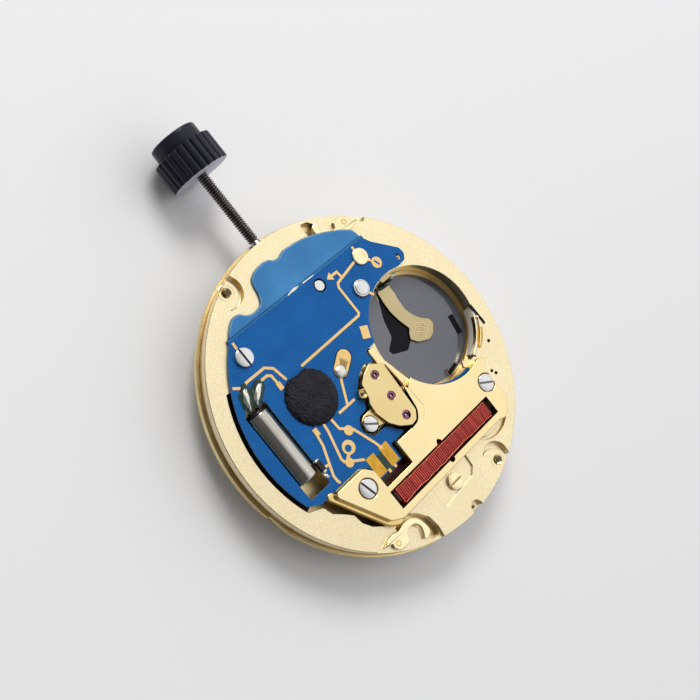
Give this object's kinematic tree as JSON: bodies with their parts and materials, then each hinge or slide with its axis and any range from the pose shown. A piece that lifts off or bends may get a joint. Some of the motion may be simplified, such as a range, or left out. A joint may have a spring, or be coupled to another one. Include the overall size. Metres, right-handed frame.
{
  "type": "quartz watch movement",
  "caption": "Slim round quartz watch movement with an open coil, jewelled train, printed circuit, cell well, date ring and a long threaded stem that carries a knurled crown.",
  "frame": {"origin": "centre of the hands, on the dial seat at the dial side's face", "axes": "+Z from the dial side towards the bridge side, +X along the winding stem towards the crown"},
  "size_m": [0.0357, 0.026, 0.005],
  "materials": {
    "plate_gold": "sandblasted pale gold plating, polished on the wall",
    "bridge_gold": "fine grained pale gold plating",
    "ruby": "polished synthetic ruby",
    "board_blue": "glossy dark blue lacquer over a fine grid",
    "track_gold": "bright gold plated copper under the lacquer",
    "film_blue": "glossy light blue film",
    "black_resin": "glossy black resin",
    "black_plastic": "satin black plastic",
    "steel": "polished steel",
    "can_steel": "drawn metal can, satin",
    "soft_iron": "soft iron, plain",
    "wire_red": "red enamelled copper wire",
    "wheel_brass": "gilt brass, satin",
    "spring_gold": "bright gold plated spring metal",
    "foil_grey": "glossy dark grey insulating foil",
    "dial_silver": "pale satin lacquer, numbers left out"
  },
  "bodies": {
    "plate": {"main_plate": "plate_gold", "screw_tubes": "plate_gold", "coil_bridge": "bridge_gold", "jewel_bridge": "bridge_gold", "bridge_jewels": "ruby", "plate_jewels": "ruby", "circuit_board": "board_blue", "printed_tracks": "track_gold", "cover_film": "film_blue", "chip_dome": "black_resin", "crystal_can": "can_steel", "crystal_seal": "black_resin", "crystal_leads": "steel", "chip_capacitor": "black_resin", "contact_stud": "spring_gold", "coil_core": "soft_iron", "coil_layers": "wire_red", "coil_winding": "wire_red", "stator": "soft_iron", "date_jumper": "steel", "date_guard_plate": "plate_gold", "yoke": "steel", "lever_spring": "steel", "cell_foil": "foil_grey", "cell_contact": "spring_gold", "cell_clamp": "spring_gold", "lever_pivots": "spring_gold", "bridge_screws": "steel", "rim_screw": "spring_gold", "lug_screw": "steel", "dial_side_screws": "steel"},
    "rotor": {"rotor_magnet": "steel", "rotor_arbor": "steel"},
    "intermediate": {"intermediate_wheel": "wheel_brass"},
    "seconds": {"seconds_wheel": "wheel_brass"},
    "third": {"third_wheel": "wheel_brass"},
    "centre": {"centre_wheel": "wheel_brass"},
    "cannon": {"cannon_pinion": "steel"},
    "minute": {"minute_wheel": "wheel_brass"},
    "hour": {"hour_wheel": "wheel_brass"},
    "setting": {"setting_wheel": "steel"},
    "date_idler": {"date_idler": "wheel_brass"},
    "date_drive": {"date_driving_wheel": "wheel_brass"},
    "date": {"date_ring": "dial_silver"},
    "clutch": {"sliding_pinion": "steel"},
    "stem": {"winding_stem": "steel", "crown": "black_plastic"},
    "set_lever": {"setting_lever": "steel"},
    "foot_lever_a": {"dial_foot_lever_a": "plate_gold"},
    "foot_lever_b": {"dial_foot_lever_b": "plate_gold"}
  },
  "joints": [
    {"name": "seconds_spin", "type": "hinge", "parent": "plate", "child": "seconds", "pos_m": [0, 0, 0.0015], "axis": [0, 0, 1], "continuous": true},
    {"name": "rotor_spin", "type": "hinge", "parent": "plate", "child": "rotor", "pos_m": [-0.00375, 0, 0.0012], "axis": [0, 0, 1], "continuous": true},
    {"name": "intermediate_spin", "type": "hinge", "parent": "plate", "child": "intermediate", "pos_m": [-0.00195, 0, 0.0015], "axis": [0, 0, 1], "continuous": true},
    {"name": "third_spin", "type": "hinge", "parent": "plate", "child": "third", "pos_m": [-0.00044, 0.00176, 0.0011], "axis": [0, 0, 1], "continuous": true},
    {"name": "centre_spin", "type": "hinge", "parent": "plate", "child": "centre", "pos_m": [0, 0, 0.0008], "axis": [0, 0, 1], "continuous": true},
    {"name": "cannon_spin", "type": "hinge", "parent": "plate", "child": "cannon", "pos_m": [0, 0, 0.0003], "axis": [0, 0, 1], "continuous": true},
    {"name": "minute_spin", "type": "hinge", "parent": "plate", "child": "minute", "pos_m": [0.00147, 0.00082, 0.0003], "axis": [0, 0, 1], "continuous": true},
    {"name": "hour_spin", "type": "hinge", "parent": "plate", "child": "hour", "pos_m": [0, 0, 0.0002], "axis": [0, 0, 1], "continuous": true},
    {"name": "setting_spin", "type": "hinge", "parent": "plate", "child": "setting", "pos_m": [0.0034, 0, 0.0003], "axis": [0, 0, 1], "continuous": true},
    {"name": "date_idler_spin", "type": "hinge", "parent": "plate", "child": "date_idler", "pos_m": [-0.00067, 0.0026, 0.00017], "axis": [0, 0, 1], "continuous": true},
    {"name": "date_drive_spin", "type": "hinge", "parent": "plate", "child": "date_drive", "pos_m": [-0.00452, 0.00379, 0.00017], "axis": [0, 0, 1], "continuous": true},
    {"name": "date_turn", "type": "hinge", "parent": "plate", "child": "date", "pos_m": [0, 0, 0.0002], "axis": [0, 0, 1], "continuous": true, "deforming": ["date_jumper"]},
    {"name": "stem_turn", "type": "hinge", "parent": "plate", "child": "clutch", "pos_m": [0, 0, 0.00075], "axis": [1, 0, 0], "continuous": true},
    {"name": "stem_pull", "type": "slide", "parent": "clutch", "child": "stem", "axis": [1, 0, 0], "range_m": [0, 0.0009]},
    {"name": "setting_lever_turn", "type": "hinge", "parent": "plate", "child": "set_lever", "pos_m": [0.0076, -0.00135, 0.0013], "axis": [0, 0, -1], "range_deg": [0, 36.86]},
    {"name": "foot_lever_a_turn", "type": "hinge", "parent": "plate", "child": "foot_lever_a", "pos_m": [-0.01022, 0.00672, 0.0016], "axis": [0, 0, -1], "range_deg": [0, 35]},
    {"name": "foot_lever_b_turn", "type": "hinge", "parent": "plate", "child": "foot_lever_b", "pos_m": [0.01022, -0.00672, 0.0016], "axis": [0, 0, -1], "range_deg": [0, 35]}
  ],
  "couplings": [
    {"joint": "rotor_spin", "follows": "seconds_spin", "ratio": 30},
    {"joint": "intermediate_spin", "follows": "seconds_spin", "ratio": -6},
    {"joint": "third_spin", "follows": "seconds_spin", "ratio": -0.13333},
    {"joint": "centre_spin", "follows": "seconds_spin", "ratio": 0.016667},
    {"joint": "minute_spin", "follows": "cannon_spin", "ratio": -0.33333},
    {"joint": "hour_spin", "follows": "cannon_spin", "ratio": 0.083333},
    {"joint": "setting_spin", "follows": "cannon_spin", "ratio": 0.5},
    {"joint": "date_idler_spin", "follows": "cannon_spin", "ratio": -0.083333},
    {"joint": "date_drive_spin", "follows": "cannon_spin", "ratio": 0.041667},
    {"joint": "setting_lever_turn", "follows": "stem_pull", "rad_per_m": 714.87}
  ]
}
